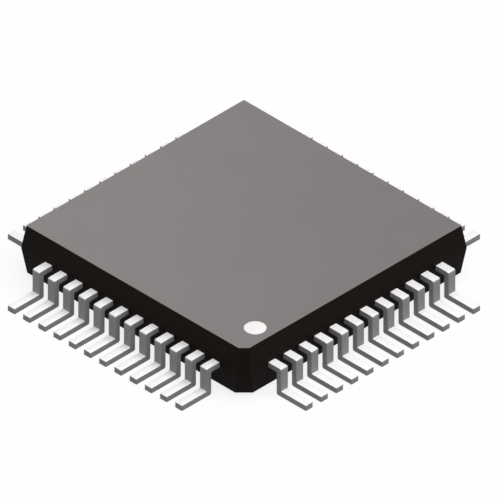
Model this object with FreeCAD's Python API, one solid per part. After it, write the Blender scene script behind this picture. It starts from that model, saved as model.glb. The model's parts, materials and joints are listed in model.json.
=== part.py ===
import FreeCAD, Part
import math
import os

# Quad flat pack chip: a moulded body with 48 gull-wing leads, twelve on each side.
# Millimetres, +Z up, +X and +Y along the sides of the body.
# The origin is the middle of the outline on the seating plane, where the undersides of the feet lie.
# Pin 1 is at the chamfered corner, on the -Y side, and the pins count counter-clockwise from above.

# Moulded body
body_width = 11.73             # across the parting line, its widest place
height_above_parting = 1.01
height_below_parting = 1.14
standoff = 0.10                # air between the body and the board
draft_angle = 8.0              # degrees, on the upper and the lower half
corner_radius = 0.03           # the three plain upright corners
pin_1_chamfer_top = 0.29       # along each side, at the top face
pin_1_chamfer_bottom = 0.47    # along each side, at the underside

# White index dot, flush in a shallow recess beside pin 1
dot_diameter = 0.85
dot_thickness = 0.03
dot_inset_x = 1.36             # from the -X edge of the top face to the dot's middle
dot_inset_y = 0.77             # from the -Y edge

# Round marks that the mould's ejector pins leave in the underside
ejector_mark_diameter = 1.0
ejector_mark_depth = 0.03
ejector_mark_spacing = 7.2     # between neighbouring marks, on a square

# Leads, stamped from the lead frame and then formed
lead_pitch = 0.80
row_end_margin = 1.40          # least distance from the body's corner to the middle of a row's last lead
lead_width = 0.36
frame_thickness = 0.24
shoulder_length = 0.67         # from the parting line to the outer face of the upright leg
foot_length = 1.30             # from that face to the tip of the foot
bend_inside_radius = 0.05
bend_outside_radius = 0.08
bend_flats = 4                 # flats that stand for the curve of each bend

# Fingers: the part of each lead inside the body, drawn in towards the die
finger_root_length = 0.60      # straight stretch behind the parting line
finger_land_length = 0.45      # straight tip that the wire is bonded to
finger_tip_width = 0.26
finger_gap = 0.35              # between the die pad and the finger tips
finger_corner_gap = 0.43       # from the last tip's edge to the corner where two rows of tips would meet

# Die pad and its four tie bars, one piece of the lead frame
die_pad_margin = 0.75          # beyond the die, all round
die_pad_downset = 0.25         # how far the pad is pressed below the fingers
tie_bar_width = 0.25
tie_bar_flat = 0.20            # level stretch beyond the pad's corner
tie_bar_slope = 0.40           # plan length of the downset bend
tie_bar_cover = 0.30           # moulding left over the bar's outer end

# Die, its adhesive and the bond wires
die_width = 4.20
die_thickness = 0.35
die_attach_thickness = 0.03
die_attach_margin = 0.10       # adhesive squeezed out round the die
bond_pad_inset = 0.12          # from the die's edge to the bonds along it
bond_row_margin = 0.34         # from the die's corner to the first bond of a row
wire_diameter = 0.03
wire_sides = 6                 # sides of the wire's section
wire_rise = 0.16               # upright stretch over the bond pad
wire_loop_height = 0.20        # top of the loop over the die
wire_loop_run = 0.25           # plan length from the rise to the top of the loop
stitch_inset = 0.28            # from the finger's tip to the wire's end
stitch_length = 0.10           # end of the wire that lies on the finger

# Quarter turns from the -Y side to each side, in the order of the pins: -Y, +X, +Y and -X
quarter_turns = range(4)

# The choice of corner that keeps a swept section sharp where its path turns
mitred_corners = 1

# Places worked out from the sizes above
draft = math.tan(math.radians(draft_angle))
half_body = body_width / 2
bottom_z = standoff
parting_z = bottom_z + height_below_parting
top_z = parting_z + height_above_parting
half_top = half_body - height_above_parting * draft
half_bottom = half_body - height_below_parting * draft
leads_per_side = 1 + int((body_width - 2 * row_end_margin) / lead_pitch)

frame_top_z = parting_z
frame_bottom_z = frame_top_z - frame_thickness
leg_face = half_body + shoulder_length
foot_tip = leg_face + foot_length
finger_root = half_body - finger_root_length
die_pad_width = die_width + 2 * die_pad_margin
finger_tip = die_pad_width / 2 + finger_gap
finger_land = finger_tip + finger_land_length

pad_top_z = frame_top_z - die_pad_downset
die_bottom_z = pad_top_z + die_attach_thickness
die_top_z = die_bottom_z + die_thickness

tip_row_length = 2 * (finger_tip - finger_corner_gap) - finger_tip_width
finger_tip_pitch = tip_row_length / (leads_per_side - 1)
bond_row_length = die_width - 2 * bond_row_margin
bond_pad_pitch = bond_row_length / (leads_per_side - 1)


def point(x, y, z=0.0):
    return FreeCAD.Vector(x, y, z)


def from_middle(index):
    """How many pitches the lead at this index stands from the middle of its row."""
    return index - (leads_per_side - 1) / 2


def turned(shape, quarters):
    """A copy turned counter-clockwise about the chip's middle by so many quarter turns."""
    copy = shape.copy()
    copy.rotate(point(0, 0), point(0, 0, 1), 90 * quarters)
    return copy


def round_disc(diameter, height, x, y, z):
    return Part.makeCylinder(diameter / 2, height, point(x, y, z))


def square_plate(width, thickness, bottom):
    return Part.makeBox(width, width, thickness, point(-width / 2, -width / 2, bottom))


def body_section(half, chamfer, z):
    """Plan outline of the body at one height, with the pin 1 corner cut off."""
    corners = [
        point(-half + chamfer, -half, z),
        point(half, -half, z),
        point(half, half, z),
        point(-half, half, z),
        point(-half, -half + chamfer, z),
    ]
    return Part.makePolygon(corners + corners[:1])


def pin_1_chamfer(z):
    """Leg of the pin 1 chamfer at a height; the cut widens evenly towards the underside."""
    share = (top_z - z) / (top_z - bottom_z)
    return pin_1_chamfer_top + share * (pin_1_chamfer_bottom - pin_1_chamfer_top)


def edges_where(shape, test):
    return [edge for edge in shape.Edges if all(test(vertex.Point) for vertex in edge.Vertexes)]


def at_plain_corner(place):
    """Whether a point of the sharp body lies on one of its three plain upright edges."""
    return abs(abs(place.x) - abs(place.y)) < Part.Precision.confusion()


def moulded_outside():
    """The body's outer form: two drafted halves that meet at the parting line."""
    sections = [
        body_section(half_bottom, pin_1_chamfer(bottom_z), bottom_z),
        body_section(half_body, pin_1_chamfer(parting_z), parting_z),
        body_section(half_top, pin_1_chamfer(top_z), top_z),
    ]
    form = Part.makeLoft(sections, True, True)
    upright = [edge for edge in edges_where(form, at_plain_corner)
               if abs(edge.Vertexes[0].Z - edge.Vertexes[1].Z) > standoff]
    return form.makeFillet(corner_radius, upright)


def rounded_corner(before, corner, after, radius):
    """Points round a square corner of a profile, from the side of one neighbour to the other's."""
    if radius == 0:
        return [corner]
    back = (before - corner).normalize() * radius
    ahead = (after - corner).normalize() * radius
    turns = [math.pi / 2 * step / bend_flats for step in range(bend_flats + 1)]
    return [corner + back * (1 - math.sin(turn)) + ahead * (1 - math.cos(turn)) for turn in turns]


def formed_profile():
    """Side view of a lead as a face in the YZ plane, its foot out along -Y."""
    leg_back = leg_face - frame_thickness
    bends = [
        (finger_tip, frame_top_z, 0),
        (leg_face, frame_top_z, bend_outside_radius),
        (leg_face, frame_thickness, bend_inside_radius),
        (foot_tip, frame_thickness, 0),
        (foot_tip, 0, 0),
        (leg_back, 0, bend_outside_radius),
        (leg_back, frame_bottom_z, bend_inside_radius),
        (finger_tip, frame_bottom_z, 0),
    ]
    corners = [point(0, -reach, z) for reach, z, radius in bends]
    outline = []
    for number, (reach, z, radius) in enumerate(bends):
        after = corners[(number + 1) % len(corners)]
        outline += rounded_corner(corners[number - 1], corners[number], after, radius)
    return Part.Face(Part.makePolygon(outline + outline[:1]))


def stamped_outline(index):
    """Plan view of one lead as a face, from its foot in to the tip of its drawn-in finger."""
    outer = from_middle(index) * lead_pitch
    inner = from_middle(index) * finger_tip_pitch
    stations = [
        (outer, lead_width, foot_tip),
        (outer, lead_width, finger_root),
        (inner, finger_tip_width, finger_land),
        (inner, finger_tip_width, finger_tip),
    ]
    left = [point(x - width / 2, -reach) for x, width, reach in stations]
    right = [point(x + width / 2, -reach) for x, width, reach in reversed(stations)]
    return Part.Face(Part.makePolygon(left + right + left[:1]))


def lead(index):
    """One lead of the -Y side: its stamped outline, cut through by its formed profile."""
    stamping = stamped_outline(index).extrude(point(0, 0, frame_top_z))
    forming = formed_profile()
    forming.translate(point(-half_body, 0))
    return stamping.common(forming.extrude(point(body_width, 0))).Solids[0]


def tie_bar():
    """Bar from under the die pad out to the -X -Y corner, with the downset bend."""
    pad_corner = die_pad_width / math.sqrt(2)
    level_end = pad_corner + tie_bar_flat
    slope_end = level_end + tie_bar_slope
    corner = (body_width - pin_1_chamfer(parting_z)) / math.sqrt(2)
    outer_end = corner - tie_bar_cover
    upper = [
        (pad_corner - tie_bar_width, pad_top_z),
        (level_end, pad_top_z),
        (slope_end, frame_top_z),
        (outer_end, frame_top_z),
    ]
    lower = [(reach, z - frame_thickness) for reach, z in reversed(upper)]
    corners = [point(0, -reach, z) for reach, z in upper + lower]
    bar = Part.Face(Part.makePolygon(corners + corners[:1])).extrude(point(tie_bar_width, 0))
    bar.translate(point(-tie_bar_width / 2, 0))
    bar.rotate(point(0, 0), point(0, 0, 1), -45)
    return bar


def die_pad():
    plate = square_plate(die_pad_width, frame_thickness, pad_top_z - frame_thickness)
    bars = [turned(tie_bar(), quarters) for quarters in quarter_turns]
    return plate.fuse(bars).removeSplitter().Solids[0]


def wire_section():
    """Level outline of a wire, with a flat side towards -Y."""
    turns = [2 * math.pi * number / wire_sides for number in range(wire_sides + 1)]
    return Part.makePolygon([point(math.cos(turn), math.sin(turn)) * (wire_diameter / 2) for turn in turns])


def bond_wire(index):
    """One wire of the -Y side: up from the die, over its loop and down to lie on the finger."""
    first = point(from_middle(index) * bond_pad_pitch, bond_pad_inset - die_width / 2, die_top_z)
    lie_z = frame_top_z + wire_diameter / 2 * math.cos(math.pi / wire_sides)
    last = point(from_middle(index) * finger_tip_pitch, -finger_tip - stitch_inset, lie_z)
    outward = point(last.x - first.x, last.y - first.y).normalize()
    upright = point(0, 0, 1)
    path = Part.makePolygon([
        first,
        first + upright * wire_rise,
        first + upright * wire_loop_height + outward * wire_loop_run,
        last - outward * stitch_length,
        last,
    ])
    section = wire_section()
    section.rotate(point(0, 0), upright, math.degrees(math.atan2(outward.y, outward.x)) + 90)
    section.translate(first)
    return path.makePipeShell([section], True, False, mitred_corners)


def all_round(pieces):
    """The pieces of the -Y side, followed by their copies on +X, +Y and -X: in pin order."""
    return [turned(piece, quarters) for quarters in quarter_turns for piece in pieces]


def pin_1_dot():
    x, y = dot_inset_x - half_top, dot_inset_y - half_top
    return round_disc(dot_diameter, dot_thickness, x, y, top_z - dot_thickness)


def ejector_marks():
    half = ejector_mark_spacing / 2
    mark = round_disc(ejector_mark_diameter, ejector_mark_depth, -half, -half, bottom_z)
    return [turned(mark, quarters) for quarters in quarter_turns]


def build():
    """Every node of the chip by name, in the order in which it is put together."""
    leads = all_round([lead(index) for index in range(leads_per_side)])
    wires = all_round([bond_wire(index) for index in range(leads_per_side)])
    nodes = {
        "die_pad": die_pad(),
        "die_attach": square_plate(die_width + 2 * die_attach_margin, die_attach_thickness, pad_top_z),
        "die": square_plate(die_width, die_thickness, die_bottom_z),
        "bond_wires": Part.makeCompound(wires),
        "pin_1_dot": pin_1_dot(),
    }
    for pin, piece in enumerate(leads, start=1):
        nodes[f"lead_{pin:02d}"] = piece
    inserts = [solid for shape in nodes.values() for solid in shape.Solids]
    nodes["moulded_body"] = moulded_outside().cut(ejector_marks() + inserts).Solids[0]
    return nodes


os.makedirs("parts", exist_ok=True)
for node, shape in build().items():
    shape.exportStep(f"parts/{node}.step")
    print(f"{node}: {len(shape.Solids)} solids, {shape.Volume:.4f} mm3, valid {shape.isValid()}")
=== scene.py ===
import json
import math

import bmesh
import bpy
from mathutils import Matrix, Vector

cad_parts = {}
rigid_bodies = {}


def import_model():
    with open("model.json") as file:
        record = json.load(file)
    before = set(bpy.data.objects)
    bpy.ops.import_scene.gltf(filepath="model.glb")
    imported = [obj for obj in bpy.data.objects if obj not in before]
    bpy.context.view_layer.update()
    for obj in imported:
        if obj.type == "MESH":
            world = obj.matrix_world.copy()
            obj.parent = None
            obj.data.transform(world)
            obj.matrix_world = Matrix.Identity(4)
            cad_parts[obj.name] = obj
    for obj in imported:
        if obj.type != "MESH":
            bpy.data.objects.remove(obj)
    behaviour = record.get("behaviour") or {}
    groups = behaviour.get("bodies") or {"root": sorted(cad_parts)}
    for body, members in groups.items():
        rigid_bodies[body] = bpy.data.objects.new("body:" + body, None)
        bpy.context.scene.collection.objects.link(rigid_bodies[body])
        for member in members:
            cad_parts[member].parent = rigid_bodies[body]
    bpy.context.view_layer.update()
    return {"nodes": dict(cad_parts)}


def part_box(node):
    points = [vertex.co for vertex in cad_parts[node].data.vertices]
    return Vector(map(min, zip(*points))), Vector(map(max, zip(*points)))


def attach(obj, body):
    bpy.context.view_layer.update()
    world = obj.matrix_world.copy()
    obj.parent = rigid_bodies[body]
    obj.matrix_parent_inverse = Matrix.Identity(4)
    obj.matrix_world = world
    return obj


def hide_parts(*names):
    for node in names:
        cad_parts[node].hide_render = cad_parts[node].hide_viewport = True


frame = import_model()

# Quad flat pack chip, in metres: +Z up, the undersides of its feet on z = 0.
# Pin 1 is at the chamfered corner, on the -Y side, and the pins count counter-clockwise from above.
bl_info = {
    "name": "Quad flat pack chip",
    "version": (1, 0, 0),
    "blender": (4, 5, 0),
    "location": "3D View > Sidebar > Chip",
    "description": "Moulding, formed leads and index dot of a chip, with their finishes",
    "category": "Object",
}

MM = 0.001
TINY = 1e-7
QUARTER_TURN = math.pi / 2
WHITE = (1, 1, 1, 1)

# A face looks along an axis when its normal's share of that axis is larger than this.
FACING = 0.9
# An edge that turns by less than this belongs to a smooth bend.
SHARP = math.radians(30)
# Faces with fewer corners than this are left whole when notched faces are split.
MANY_CORNERS = 5

# How many flats round shapes are made of
BEND_FLATS = 8
CORNER_FLATS = 8
STAMPED_EDGE_FLATS = 2
RIM_FLATS = 3
INK_EDGE_FLATS = 2
DOT_SIDES = 96
MARK_SIDES = 64

CAMERA_DISTANCE = 100 * MM
NEAREST_SEEN = 1 * MM
FARTHEST_SEEN = 1000 * MM

# Node and material of each inner part, its colour, roughness, metallic share, grain size and grain depth
INNER_FINISHES = (
    ("die_pad", "bare_frame", "frame_metal", 0.40, 1.0, 0.08 * MM, 0.0020 * MM),
    ("die_attach", "die_adhesive", "adhesive", 0.55, 0.3, 0.04 * MM, 0.0040 * MM),
    ("die", "silicon", "silicon", 0.15, 0.2, 0.30 * MM, 0.0005 * MM),
    ("bond_wires", "gold_wire", "gold", 0.25, 1.0, 0.02 * MM, 0.0005 * MM),
)

# What the frame says of the chip
LEAD_NODES = sorted(name for name in frame["nodes"] if name.startswith("lead_"))
PER_SIDE = len(LEAD_NODES) // 4
BODY_LOW, BODY_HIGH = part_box("moulded_body")
FIRST_LOW, FIRST_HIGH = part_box(LEAD_NODES[0])
INNER_LOW, INNER_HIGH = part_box(LEAD_NODES[PER_SIDE // 2 - 1])
DOT_LOW, DOT_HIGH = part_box("pin_1_dot")
PARTING_Z = FIRST_HIGH.z
LEAD_PITCH = (INNER_LOW.x - FIRST_LOW.x) / (PER_SIDE / 2 - 1)
LEAD_WIDTH = -2 * INNER_LOW.x - LEAD_PITCH
FINGER_TIP = -FIRST_HIGH.y
FINGER_TIP_PITCH = (INNER_HIGH.x - FIRST_HIGH.x) / (PER_SIDE / 2 - 1)
FINGER_TIP_WIDTH = 2 * INNER_HIGH.x + FINGER_TIP_PITCH
FOOT_TIP = -FIRST_LOW.y


def length(name, description, default):
    """A size that a user may change, shown in the scene's own unit."""
    return bpy.props.FloatProperty(
        name=name, description=description, default=default,
        min=0, precision=6, subtype="DISTANCE", unit="LENGTH")


def angle(name, description, default):
    """An angle that a user may change."""
    return bpy.props.FloatProperty(
        name=name, description=description, default=default, subtype="ANGLE", unit="ROTATION")


def fraction(name, description, default):
    """A share from 0 to 1 that a user may change."""
    return bpy.props.FloatProperty(
        name=name, description=description, default=default, min=0, max=1, subtype="FACTOR")


def strength(name, description, default):
    """A strength of light that a user may change."""
    return bpy.props.FloatProperty(name=name, description=description, default=default, min=0)


def colour(name, description, red, green, blue):
    """A colour that a user may change, given as it shows on a screen, from 0 to 255."""
    shown = [part / 255 for part in (red, green, blue)]
    linear = [part / 12.92 if part <= 0.04045 else ((part + 0.055) / 1.055) ** 2.4 for part in shown]
    return bpy.props.FloatVectorProperty(
        name=name, description=description, default=linear, min=0, max=1, size=3, subtype="COLOR")


class ChipSizes(bpy.types.PropertyGroup):
    """Sizes of the pieces that show."""

    draft_angle: angle("Draft angle", "Slope of the moulding's sides, on both halves", math.radians(8))
    corner_radius: length("Corner radius", "Three plain upright corners of the moulding", 0.03 * MM)
    chamfer_top: length("Chamfer at the top", "Leg of the pin 1 chamfer at the top face", 0.29 * MM)
    chamfer_bottom: length(
        "Chamfer at the underside", "Leg of the pin 1 chamfer at the underside", 0.47 * MM)
    rim_radius: length("Rim radius", "Soft edge round the top and the underside", 0.015 * MM)
    ink_edge_radius: length("Ink edge radius", "Soft rim of the index dot", 0.004 * MM)
    mark_diameter: length("Ejector mark", "Diameter of the round marks in the underside", 1.0 * MM)
    mark_depth: length("Ejector mark depth", "Depth of the round marks", 0.03 * MM)
    mark_spacing: length("Ejector mark spacing", "Between neighbouring marks, on a square", 7.2 * MM)
    sheet: length("Sheet thickness", "Thickness of the lead frame's sheet", 0.24 * MM)
    foot_length: length("Foot length", "From the outer face of the leg to the foot's tip", 1.30 * MM)
    bend_inside: length("Inside bend radius", "Radius inside both bends of a lead", 0.05 * MM)
    bend_outside: length("Outside bend radius", "Radius outside both bends of a lead", 0.08 * MM)
    edge_radius: length("Stamped edge radius", "Soft edges of the stamped leads", 0.014 * MM)
    finger_root: length("Finger root", "Straight stretch of a lead behind the parting line", 0.60 * MM)
    finger_land: length("Finger land", "Straight tip that the wire is bonded to", 0.45 * MM)


class ChipColours(bpy.types.PropertyGroup):
    """Colours of the finishes, with painted light on the moulding's level faces and painted shade on the
    leads' upright faces.
    """

    # Painted light: the epoxy is dark all over, but its level faces are painted this lighter colour.
    moulding_level_painted_light: colour("Moulding, level faces", "Matte top and underside", 140, 133, 133)
    moulding_side: colour("Moulding, sides", "Drafted sides of the moulding", 28, 23, 20)
    plating: colour("Plating", "Level faces of the leads", 252, 250, 251)
    # Painted shade: the tin is the same all over, but the upright faces are painted this darker colour.
    plating_upright_painted_shade: colour("Plating, upright", "Upright and stamped faces of the leads", 160, 157, 162)
    ink: colour("Ink", "White index dot", 255, 250, 250)
    frame_metal: colour("Frame metal", "Bare sheet of the die pad", 176, 172, 165)
    adhesive: colour("Adhesive", "Silver-filled die adhesive", 150, 150, 152)
    silicon: colour("Silicon", "Polished die", 82, 88, 104)
    gold: colour("Gold", "Bond wires", 236, 196, 108)


class StudioSettings(bpy.types.PropertyGroup):
    """Camera, floor and light."""

    azimuth: angle("Azimuth", "Turn of the camera round the chip", math.radians(-45))
    elevation: angle("Elevation", "Height of the camera over the horizon", math.atan(math.sqrt(0.5)))
    view_width: length("View width", "Width of the level stretch that the camera takes in", 18.58 * MM)
    aim: bpy.props.FloatVectorProperty(
        name="Aim", description="Point in the middle of the picture",
        default=(0.159 * MM, -0.159 * MM, 1.129 * MM), subtype="TRANSLATION", unit="LENGTH")
    floor_size: length("Floor size", "Side of the square floor", 800 * MM)
    floor_paleness: fraction(
        "Floor paleness", "Share of plain white in the floor as it is seen; the rest keeps shadows", 0.82)
    floor_bounce: fraction(
        "Floor bounce", "Share of the lamp's light that the floor throws back at the chip", 0.15)
    floor_glow: strength("Floor glow", "Even light that the floor gives the chip from below", 0.15)
    light_level: strength(
        "Light level", "Light on an open level face, where 1 shows a colour as it is written", 0.95)
    lamp_share: fraction(
        "Lamp share", "Share of a level face's light that comes from the overhead lamp", 0.90)
    lamp_angle: angle(
        "Lamp angle", "How wide the lamp looks from the chip, which softens the shadow", math.radians(60))
    lamp_lean: bpy.props.FloatVectorProperty(
        name="Lamp lean", description="Way from the chip to the lamp", default=(0.05, -0.22, 1.0))


def settle():
    """Leaves edit mode and selects nothing."""
    if bpy.context.mode != "OBJECT":
        bpy.ops.object.mode_set(mode="OBJECT")
    bpy.ops.object.select_all(action="DESELECT")


def choose(*pieces):
    """Selects these pieces alone and makes the first one active."""
    settle()
    for piece in pieces:
        piece.select_set(True)
    bpy.context.view_layer.objects.active = pieces[0]


def named(name):
    """Names the primitive that was just added and puts its place, turn and size into its mesh."""
    piece = bpy.context.object
    piece.name = piece.data.name = name
    bpy.ops.object.transform_apply(location=True, rotation=True, scale=True)
    return piece


def add_block(name, low, high):
    """A block between two opposite corners."""
    size = Vector(high) - Vector(low)
    middle = (Vector(low) + Vector(high)) / 2
    settle()
    bpy.ops.mesh.primitive_cube_add(size=1, location=middle, scale=size)
    return named(name)


def add_disc(name, x, y, low, high, diameter, sides):
    """An upright disc between two heights."""
    settle()
    bpy.ops.mesh.primitive_cylinder_add(
        vertices=sides, radius=diameter / 2, depth=high - low, location=(x, y, (low + high) / 2))
    return named(name)


def open_mesh(piece):
    """Opens the piece in edit mode with all of it selected."""
    choose(piece)
    bpy.ops.object.mode_set(mode="EDIT")
    bpy.ops.mesh.select_all(action="SELECT")


def pick(kind, test):
    """Selects the faces or the edges of the open mesh that pass the test."""
    piece = bpy.context.object
    bpy.ops.mesh.select_mode(type=kind)
    bpy.ops.mesh.select_all(action="DESELECT")
    mesh = bmesh.from_edit_mesh(piece.data)
    elements = mesh.faces if kind == "FACE" else mesh.edges
    found = [element for element in elements if test(element)]
    if not found:
        raise RuntimeError(f"{piece.name} has no such {kind.lower()}")
    for element in found:
        element.select_set(True)
    bmesh.update_edit_mesh(piece.data)


def pick_faces(test):
    """Selects the faces whose middle and normal pass the test."""
    pick("FACE", lambda face: test(face.calc_center_median(), face.normal))


def pick_edges(test):
    """Selects the edges whose two ends pass the test."""
    pick("EDGE", lambda edge: test(edge.verts[0].co, edge.verts[1].co))


def pull(x, y, z):
    """Extrudes what is selected by this much."""
    bpy.ops.mesh.extrude_region_move(TRANSFORM_OT_translate={"value": (x, y, z)})


def squeeze(across, along, middle):
    """Sizes what is selected towards a point, by these shares in X and in Y."""
    bpy.ops.transform.resize(value=(across, along, 1), center_override=middle)


def round_edges(radius, flats):
    """Rounds the edges that are selected."""
    bpy.ops.mesh.bevel(
        offset=radius, offset_type="OFFSET", segments=flats, affect="EDGES", clamp_overlap=False)


def apply_modifier(piece, kind, **settings):
    """Adds a modifier with these settings and applies it."""
    choose(piece)
    bpy.ops.object.modifier_add(type=kind)
    modifier = piece.modifiers[-1]
    for setting, value in settings.items():
        setattr(modifier, setting, value)
    bpy.ops.object.modifier_apply(modifier=modifier.name)


def soften(piece, radius, flats):
    """Rounds every edge of the piece that is sharper than a bend's own flats."""
    apply_modifier(
        piece, "BEVEL", width=radius, segments=flats, limit_method="ANGLE", angle_limit=SHARP)


def shade(piece):
    """Smooth shading over rounded edges that keeps the flats flat."""
    choose(piece)
    if piece.data.has_custom_normals:
        # A cut leaves the cutter's own normals in the mesh.
        bpy.ops.mesh.customdata_custom_splitnormals_clear()
    bpy.ops.object.shade_smooth_by_angle(angle=SHARP)
    apply_modifier(piece, "WEIGHTED_NORMAL", keep_sharp=True)


def cut_out(piece, cutter):
    """Cuts the closed mesh of the cutter out of the piece, and removes the cutter."""
    apply_modifier(piece, "BOOLEAN", operation="DIFFERENCE", solver="EXACT", object=cutter)
    bpy.data.objects.remove(cutter)


def split_notched_faces(piece):
    """Splits the many-cornered faces that cuts leave, so that each edge stays between two faces."""
    open_mesh(piece)
    bpy.ops.mesh.dissolve_degenerate(threshold=TINY)
    settle()
    apply_modifier(piece, "TRIANGULATE", ngon_method="BEAUTY", min_vertices=MANY_CORNERS)


def joined_copy(pieces):
    """One new object with the meshes of all these pieces."""
    choose(*pieces)
    bpy.ops.object.duplicate()
    bpy.ops.object.join()
    return bpy.context.object


def copy_of_node(node):
    """A closed copy of a node's mesh."""
    piece = bpy.data.objects.new("cutter", frame["nodes"][node].data.copy())
    bpy.context.scene.collection.objects.link(piece)
    open_mesh(piece)
    bpy.ops.mesh.remove_doubles(threshold=TINY)
    settle()
    return piece


def stand_for(piece, node, material):
    """The piece takes the node's place in the chip."""
    piece.data.materials.clear()
    piece.data.materials.append(material)
    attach(piece, "root")
    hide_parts(node)


def dress(node, material):
    """Gives a node's own mesh a finish."""
    mesh = frame["nodes"][node].data
    mesh.materials.clear()
    mesh.materials.append(material)


class Signal:
    """A value that a node gives; arithmetic on it adds Math nodes."""

    def __init__(self, finish, socket):
        self.finish = finish
        self.socket = socket

    def maths(self, operation, first, second):
        return self.finish.node("ShaderNodeMath", {"operation": operation}, {0: first, 1: second})

    def __add__(self, other):
        return self.maths("ADD", self, other)

    def __radd__(self, other):
        return self.maths("ADD", other, self)

    def __sub__(self, other):
        return self.maths("SUBTRACT", self, other)

    def __rsub__(self, other):
        return self.maths("SUBTRACT", other, self)

    def __mul__(self, other):
        return self.maths("MULTIPLY", self, other)

    def __rmul__(self, other):
        return self.maths("MULTIPLY", other, self)


class Finish:
    """A node material, or another node tree, being put together."""

    def __init__(self, tree):
        self.tree = tree

    def feed(self, socket, value):
        """Links a signal to the socket, or sets the socket to a plain value."""
        if isinstance(value, Signal):
            self.tree.links.new(value.socket, socket)
        else:
            socket.default_value = value

    def node(self, kind, settings=None, sockets=None, output=0):
        """Adds a node; its settings come first, then the values or links of its sockets."""
        node = self.tree.nodes.new(kind)
        for setting, value in (settings or {}).items():
            setattr(node, setting, value)
        for socket, value in (sockets or {}).items():
            self.feed(node.inputs[socket], value)
        return Signal(self, node.outputs[output])

    def place(self):
        """Place of a surface point in the chip, in metres."""
        return self.node("ShaderNodeTexCoord", output="Object")

    def along(self, direction):
        """How far a surface point lies along a direction."""
        sockets = {0: self.place(), 1: direction}
        return self.node("ShaderNodeVectorMath", {"operation": "DOT_PRODUCT"}, sockets, output="Value")

    def levelness(self):
        """How level the surface lies: 1 where it faces straight up or down, 0 where it stands upright."""
        normal = self.node("ShaderNodeTexCoord", output="Normal")
        upward = self.node("ShaderNodeSeparateXYZ", sockets={0: normal}, output="Z")
        return self.node("ShaderNodeMath", {"operation": "ABSOLUTE"}, {0: upward})

    def noise(self, grain, detail=2.0):
        """Noise from 0 to 1 whose grains are about this large, in metres."""
        sockets = {"Vector": self.place(), "Scale": 1 / grain, "Detail": detail}
        return self.node("ShaderNodeTexNoise", sockets=sockets)

    def between(self, value, low, high):
        """How far the value has come from low to high, from 0 to 1."""
        sockets = {"Value": value, "From Min": low, "From Max": high}
        return self.node("ShaderNodeMapRange", {"interpolation_type": "SMOOTHSTEP"}, sockets)

    def mix(self, share, first, second):
        """Colour that goes from the first to the second as the share goes from 0 to 1."""
        sockets = {0: share, 6: first, 7: second}
        return self.node("ShaderNodeMix", {"data_type": "RGBA"}, sockets, output=2)

    def scaled(self, tone, share):
        """Colour made lighter or darker by the share."""
        sockets = {"Vector": tone, "Scale": share}
        return self.node("ShaderNodeVectorMath", {"operation": "SCALE"}, sockets)

    def relief(self, height, depth):
        """Normal of a surface whose relief is this deep, in metres, where height goes from 0 to 1."""
        return self.node("ShaderNodeBump", sockets={"Height": height, "Distance": depth})

    def matte(self, tone):
        """Shader of a plain matte surface."""
        return self.node("ShaderNodeBsdfDiffuse", sockets={"Color": tone})

    def glow(self, level):
        """Shader of a surface that gives even white light."""
        return self.node("ShaderNodeEmission", sockets={"Color": WHITE, "Strength": level})

    def sky(self, level):
        """Shader of an even white sky."""
        return self.node("ShaderNodeBackground", sockets={"Color": WHITE, "Strength": level})

    def blend(self, share, first, second):
        """Shader that goes from the first to the second as the share goes from 0 to 1."""
        return self.node("ShaderNodeMixShader", sockets={0: share, 1: first, 2: second})

    def seen(self):
        """1 for rays that show a surface, directly, in gloss or through glass, and 0 for its light."""
        shows = self.node("ShaderNodeLightPath", output="Is Camera Ray")
        for kind in ("Is Glossy Ray", "Is Transmission Ray"):
            shows = shows + self.node("ShaderNodeLightPath", output=kind)
        return shows


def new_material(name, roughness, metallic=0.0, specular=0.5):
    """A material with a Principled shader, as its finish and that shader's sockets."""
    material = bpy.data.materials.new(name)
    material.use_nodes = True
    shader = material.node_tree.nodes["Principled BSDF"]
    shader.inputs["Roughness"].default_value = roughness
    shader.inputs["Metallic"].default_value = metallic
    shader.inputs["Specular IOR Level"].default_value = specular
    return material, Finish(material.node_tree), shader.inputs


def opaque(tone):
    """The colour with the full alpha that a colour socket takes."""
    return (*tone, 1.0)


def moulding_finish(colours):
    """Filled epoxy with the fine grain of a spark-eroded mould; its level faces are painted lighter than
    its dark sides as painted light from above, and a painted light falloff runs across it.
    """
    material, finish, shader = new_material("moulding", roughness=0.6, specular=0.05)
    # Mask of the level faces, which carry the painted light.
    level = finish.between(finish.levelness(), low=0.5, high=0.9)
    grain = finish.noise(grain=0.07 * MM, detail=4.0)
    cloud = finish.noise(grain=1.8 * MM)
    # Painted light falloff: the tone falls a little from the -X +Y corner to the +X -Y corner.
    painted_falloff = finish.between(finish.along((1, -1, 0)), low=-2 * BODY_HIGH.x, high=2 * BODY_HIGH.x)
    # Painted light: the level faces take the lighter colour and the upright sides the dark one.
    tone = finish.mix(level, opaque(colours.moulding_side), opaque(colours.moulding_level_painted_light))
    # The grain and the cloud are the epoxy's own tone; the falloff term is painted light.
    unevenness = 0.95 + 0.10 * grain + 0.06 * cloud - 0.15 * painted_falloff
    finish.feed(shader["Base Color"], finish.scaled(tone, unevenness))
    finish.feed(shader["Roughness"], 0.55 + 0.2 * grain)
    finish.feed(shader["Normal"], finish.relief(grain, depth=0.004 * MM))
    return material


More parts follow.
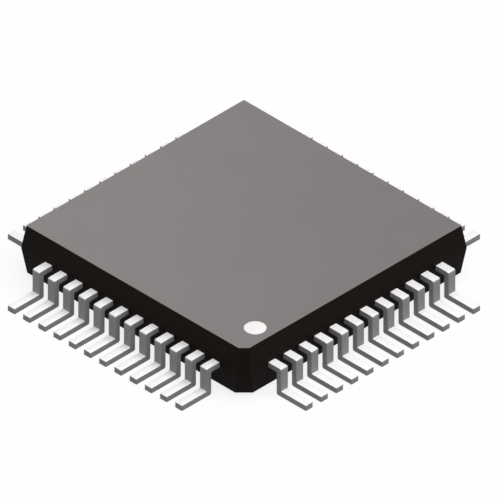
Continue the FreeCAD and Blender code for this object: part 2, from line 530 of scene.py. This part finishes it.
def plating_finish(colours):
    """Matte tin with a fine crystalline grain; its upright faces are painted darker than its pale level
    ones as painted shade.
    """
    material, finish, shader = new_material("lead_plating", roughness=0.5, metallic=0.10, specular=0.25)
    # Mask of the level faces; the upright faces outside it carry the painted shade.
    level = finish.between(finish.levelness(), low=0.35, high=0.9)
    grain = finish.noise(grain=0.02 * MM, detail=3.0)
    smear = finish.noise(grain=0.35 * MM)
    # Painted shade: upright faces take the darker colour and level faces the plain tin colour.
    tone = finish.mix(level, opaque(colours.plating_upright_painted_shade), opaque(colours.plating))
    unevenness = 0.95 + 0.06 * smear + 0.03 * grain
    finish.feed(shader["Base Color"], finish.scaled(tone, unevenness))
    finish.feed(shader["Roughness"], 0.42 + 0.12 * smear + 0.08 * grain)
    finish.feed(shader["Normal"], finish.relief(grain, depth=0.0012 * MM))
    return material


def ink_finish(colours):
    """White ink with the faint unevenness of a printed dot."""
    material, finish, shader = new_material("white_ink", roughness=0.6, specular=0.3)
    grain = finish.noise(grain=0.05 * MM, detail=3.0)
    thin_ink = (0.6, 0.58, 0.58, 1.0)
    finish.feed(shader["Base Color"], finish.mix(0.04 * grain, opaque(colours.ink), thin_ink))
    finish.feed(shader["Roughness"], 0.5 + 0.2 * grain)
    finish.feed(shader["Normal"], finish.relief(grain, depth=0.002 * MM))
    return material


def grained_finish(name, tone, roughness, metallic, grain_size, depth):
    """A plain finish for an inner part: its colour and gloss vary with a fine grain."""
    material, finish, shader = new_material(name, roughness=roughness, metallic=metallic)
    grain = finish.noise(grain=grain_size, detail=3.0)
    darker = opaque([0.8 * part for part in tone])
    finish.feed(shader["Base Color"], finish.mix(grain, darker, opaque(tone)))
    finish.feed(shader["Roughness"], roughness - 0.05 + 0.1 * grain)
    finish.feed(shader["Normal"], finish.relief(grain, depth))
    return material


def bend_edge(reach, z):
    """A test of whether an edge lies across a lead, at this distance from the middle and this height."""
    def test(one, other):
        return all(abs(end.y + reach) < TINY and abs(end.z - z) < TINY for end in (one, other))
    return test


def model_lead(index, sizes):
    """One lead of the -Y side, drawn out of the block at its lower bend to the foot and the finger."""
    sheet = sizes.sheet
    from_middle = index - (PER_SIDE - 1) / 2
    x = from_middle * LEAD_PITCH
    shift = from_middle * FINGER_TIP_PITCH - x
    leg_face = FOOT_TIP - sizes.foot_length
    leg_back = leg_face - sheet
    root = BODY_HIGH.x - sizes.finger_root
    land = FINGER_TIP + sizes.finger_land
    half_width = LEAD_WIDTH / 2
    piece = add_block("lead", (x - half_width, -leg_face, 0), (x + half_width, -leg_back, sheet))
    open_mesh(piece)

    # The foot, then the leg with the block of its upper bend
    pick_faces(lambda middle, normal: normal.y < -FACING)
    pull(0, -sizes.foot_length, 0)
    pick_faces(lambda middle, normal: normal.z > FACING and middle.y > -leg_face)
    pull(0, 0, PARTING_Z - 2 * sheet)
    pull(0, 0, sheet)

    # The shoulder with the finger's root, the drawn-in stretch, and the land at the tip
    pick_faces(lambda middle, normal: normal.y > FACING and middle.z > PARTING_Z - sheet)
    pull(0, leg_back - root, 0)
    pull(shift, root - land, 0)
    squeeze(FINGER_TIP_WIDTH / LEAD_WIDTH, 1, (x + shift, -land, PARTING_Z - sheet / 2))
    pull(0, land - FINGER_TIP, 0)

    bends = (
        (leg_face, PARTING_Z, sizes.bend_outside),
        (leg_back, PARTING_Z - sheet, sizes.bend_inside),
        (leg_back, 0, sizes.bend_outside),
        (leg_face, sheet, sizes.bend_inside),
    )
    for reach, z, radius in bends:
        pick_edges(bend_edge(reach, z))
        round_edges(radius, BEND_FLATS)
    settle()
    soften(piece, sizes.edge_radius, STAMPED_EDGE_FLATS)
    shade(piece)
    return piece


class CHIP_OT_formed_leads(bpy.types.Operator):
    """Models the stamped and formed leads, twelve on each side, with their drawn-in fingers"""

    bl_idname = "chip.formed_leads"
    bl_label = "Formed leads"

    def execute(self, context):
        material = plating_finish(context.scene.chip_colours)
        row = [model_lead(index, context.scene.chip_sizes) for index in range(PER_SIDE)]
        for number, node in enumerate(LEAD_NODES):
            side, index = divmod(number, PER_SIDE)
            piece = bpy.data.objects.new(f"formed_{node}", row[index].data.copy())
            piece.data.name = piece.name
            context.scene.collection.objects.link(piece)
            piece.rotation_euler.z = side * QUARTER_TURN
            choose(piece)
            bpy.ops.object.transform_apply(location=True, rotation=True, scale=True)
            stand_for(piece, node, material)
        for piece in row:
            bpy.data.objects.remove(piece)
        return {"FINISHED"}


def add_index_dot(name):
    """The disc of the index dot, which also cuts its recess."""
    middle = (DOT_LOW + DOT_HIGH) / 2
    diameter = DOT_HIGH.x - DOT_LOW.x
    return add_disc(name, middle.x, middle.y, DOT_LOW.z, DOT_HIGH.z, diameter, DOT_SIDES)


class CHIP_OT_index_dot(bpy.types.Operator):
    """Models the white index dot beside pin 1"""

    bl_idname = "chip.index_dot"
    bl_label = "Index dot"

    def execute(self, context):
        piece = add_index_dot("index_dot")
        soften(piece, context.scene.chip_sizes.ink_edge_radius, INK_EDGE_FLATS)
        shade(piece)
        stand_for(piece, "pin_1_dot", ink_finish(context.scene.chip_colours))
        return {"FINISHED"}


def model_moulding(sizes):
    """The moulding's outside: two drafted halves, rounded corners, the pin 1 chamfer and soft rims."""
    half = BODY_HIGH.x
    slope = math.tan(sizes.draft_angle)
    top_share = 1 - (BODY_HIGH.z - PARTING_Z) * slope / half
    bottom_share = 1 - (PARTING_Z - BODY_LOW.z) * slope / half
    piece = add_block("moulding", BODY_LOW, (half, half, PARTING_Z))
    open_mesh(piece)
    pick_faces(lambda middle, normal: normal.z < -FACING)
    squeeze(bottom_share, bottom_share, (0, 0, 0))
    pick_faces(lambda middle, normal: normal.z > FACING)
    pull(0, 0, BODY_HIGH.z - PARTING_Z)
    squeeze(top_share, top_share, (0, 0, 0))
    # The upright edges, but for the two of the pin 1 corner
    pick_edges(lambda one, other: abs(one.z - other.z) > sizes.sheet and max(one.x, one.y) > 0)
    round_edges(sizes.corner_radius, CORNER_FLATS)
    cut_pin_1_corner(sizes, BODY_HIGH.z, half * top_share)
    cut_pin_1_corner(sizes, BODY_LOW.z, half * bottom_share)
    settle()
    soften(piece, sizes.rim_radius, RIM_FLATS)
    return piece


def chamfer_leg(sizes, z):
    """Leg of the pin 1 chamfer at a height; the cut widens evenly towards the underside."""
    share = (BODY_HIGH.z - z) / (BODY_HIGH.z - BODY_LOW.z)
    return sizes.chamfer_top + share * (sizes.chamfer_bottom - sizes.chamfer_top)


def cut_pin_1_corner(sizes, z, half_there):
    """Cuts the -X -Y corner off, along the plane that its chamfer has at z and at the parting line."""
    # On the chamfer, x + y is its leg less the full width of the moulding at that height.
    there = chamfer_leg(sizes, z) - 2 * half_there
    at_parting = chamfer_leg(sizes, PARTING_Z) - 2 * BODY_HIGH.x
    lean = (there - at_parting) / (z - PARTING_Z)
    bpy.ops.mesh.select_all(action="SELECT")
    bpy.ops.mesh.bisect(
        plane_co=(at_parting / 2, at_parting / 2, PARTING_Z), plane_no=(-1, -1, lean),
        use_fill=True, clear_outer=True, threshold=TINY)


def add_ejector_marks(sizes):
    """The discs that are cut out of the underside, in one object."""
    reach = sizes.mark_spacing / 2
    low = BODY_LOW.z - sizes.mark_depth
    high = BODY_LOW.z + sizes.mark_depth
    discs = []
    for x in (-reach, reach):
        for y in (-reach, reach):
            discs.append(add_disc("mark", x, y, low, high, sizes.mark_diameter, MARK_SIDES))
    choose(*discs)
    bpy.ops.object.join()
    return bpy.context.object


class CHIP_OT_moulding(bpy.types.Operator):
    """Models the moulded body round the leads, the die and its wires"""

    bl_idname = "chip.moulding"
    bl_label = "Moulding"

    def execute(self, context):
        sizes = context.scene.chip_sizes
        piece = model_moulding(sizes)
        cut_out(piece, add_ejector_marks(sizes))
        cut_out(piece, add_index_dot("recess"))
        cut_out(piece, joined_copy([bpy.data.objects[f"formed_{node}"] for node in LEAD_NODES]))
        for node, *_ in INNER_FINISHES:
            cut_out(piece, copy_of_node(node))
        split_notched_faces(piece)
        shade(piece)
        stand_for(piece, "moulded_body", moulding_finish(context.scene.chip_colours))
        return {"FINISHED"}


class CHIP_OT_inner_parts(bpy.types.Operator):
    """Finishes the die pad, the die, its adhesive and the bond wires"""

    bl_idname = "chip.inner_parts"
    bl_label = "Inner parts"

    def execute(self, context):
        for node, name, tone, *look in INNER_FINISHES:
            dress(node, grained_finish(name, getattr(context.scene.chip_colours, tone), *look))
        return {"FINISHED"}


def make_floor(settings):
    """A pale floor that keeps the chip's shadow and lights it softly from below."""
    settle()
    # Off the middle, so that the diagonal of the square doesn't run under the chip
    bpy.ops.mesh.primitive_plane_add(size=settings.floor_size, location=(settings.floor_size / 4, 0, 0))
    floor = named("floor")
    material = bpy.data.materials.new("floor")
    material.use_nodes = True
    nodes = material.node_tree.nodes
    nodes.remove(nodes["Principled BSDF"])
    finish = Finish(material.node_tree)
    shown = finish.blend(settings.floor_paleness, finish.matte(WHITE), finish.glow(1.0))
    bounce = finish.matte(opaque(3 * [settings.floor_bounce]))
    light = finish.node("ShaderNodeAddShader", sockets={0: bounce, 1: finish.glow(settings.floor_glow)})
    above = finish.blend(finish.seen(), light, shown)
    from_below = finish.node("ShaderNodeNewGeometry", output="Backfacing")
    clear = finish.node("ShaderNodeBsdfTransparent")
    finish.feed(nodes["Material Output"].inputs["Surface"], finish.blend(from_below, above, clear))
    floor.data.materials.append(material)


def light_studio(settings):
    """One wide overhead lamp and a dim even sky, which shows white behind the chip."""
    lean = Vector(settings.lamp_lean).normalized()
    lamp = bpy.data.lights.new("overhead", "SUN")
    # A lamp that leans lights a level face less, so it is made that much stronger.
    lamp.energy = math.pi * settings.light_level * settings.lamp_share / lean.z
    lamp.angle = settings.lamp_angle
    light = bpy.data.objects.new("overhead", lamp)
    light.rotation_euler = lean.to_track_quat("Z", "Y").to_euler()
    bpy.context.scene.collection.objects.link(light)
    world = bpy.data.worlds.new("studio")
    world.use_nodes = True
    bpy.context.scene.world = world
    nodes = world.node_tree.nodes
    nodes.remove(nodes["Background"])
    finish = Finish(world.node_tree)
    dim = finish.sky(settings.light_level * (1 - settings.lamp_share))
    finish.feed(nodes["World Output"].inputs["Surface"], finish.blend(finish.seen(), dim, finish.sky(1.0)))


def place_camera(settings):
    """A camera with no perspective, at the view of an isometric drawing."""
    camera = bpy.data.cameras.new("camera")
    camera.type = "ORTHO"
    camera.ortho_scale = settings.view_width
    camera.clip_start = NEAREST_SEEN
    camera.clip_end = FARTHEST_SEEN
    level = math.cos(settings.elevation)
    back = Vector((
        math.sin(settings.azimuth) * level,
        -math.cos(settings.azimuth) * level,
        math.sin(settings.elevation),
    ))
    view = bpy.data.objects.new("camera", camera)
    view.location = Vector(settings.aim) + back * CAMERA_DISTANCE
    view.rotation_euler = back.to_track_quat("Z", "Y").to_euler()
    bpy.context.scene.collection.objects.link(view)
    bpy.context.scene.camera = view


class CHIP_OT_studio(bpy.types.Operator):
    """Lays the floor, hangs the light and places the camera"""

    bl_idname = "chip.studio"
    bl_label = "Studio"

    def execute(self, context):
        settings = context.scene.chip_studio
        make_floor(settings)
        light_studio(settings)
        place_camera(settings)
        context.scene.view_settings.view_transform = "Standard"
        return {"FINISHED"}


class CHIP_PT_sidebar(bpy.types.Panel):
    """Pieces, sizes, colours and studio of the chip"""

    bl_idname = "CHIP_PT_sidebar"
    bl_label = "Quad flat pack chip"
    bl_space_type = "VIEW_3D"
    bl_region_type = "UI"
    bl_category = "Chip"

    def draw(self, context):
        for operator in OPERATORS:
            self.layout.operator(operator.bl_idname)
        for name in GROUPS:
            group = getattr(context.scene, name)
            box = self.layout.box()
            for setting in group.__annotations__:
                box.prop(group, setting)


OPERATORS = [
    CHIP_OT_formed_leads,
    CHIP_OT_index_dot,
    CHIP_OT_moulding,
    CHIP_OT_inner_parts,
    CHIP_OT_studio,
]
GROUPS = {"chip_sizes": ChipSizes, "chip_colours": ChipColours, "chip_studio": StudioSettings}
CLASSES = [*GROUPS.values(), *OPERATORS, CHIP_PT_sidebar]


def register():
    """Adds the operators, the panel and the scene's settings."""
    for kind in CLASSES:
        bpy.utils.register_class(kind)
    for name, group in GROUPS.items():
        setattr(bpy.types.Scene, name, bpy.props.PointerProperty(type=group))


def unregister():
    """Takes away what register adds."""
    for name in GROUPS:
        delattr(bpy.types.Scene, name)
    for kind in reversed(CLASSES):
        bpy.utils.unregister_class(kind)


def main():
    """Models the chip and its studio."""
    register()
    bpy.ops.chip.formed_leads()
    bpy.ops.chip.index_dot()
    bpy.ops.chip.moulding()
    bpy.ops.chip.inner_parts()
    bpy.ops.chip.studio()


if __name__ == "__main__":
    main()
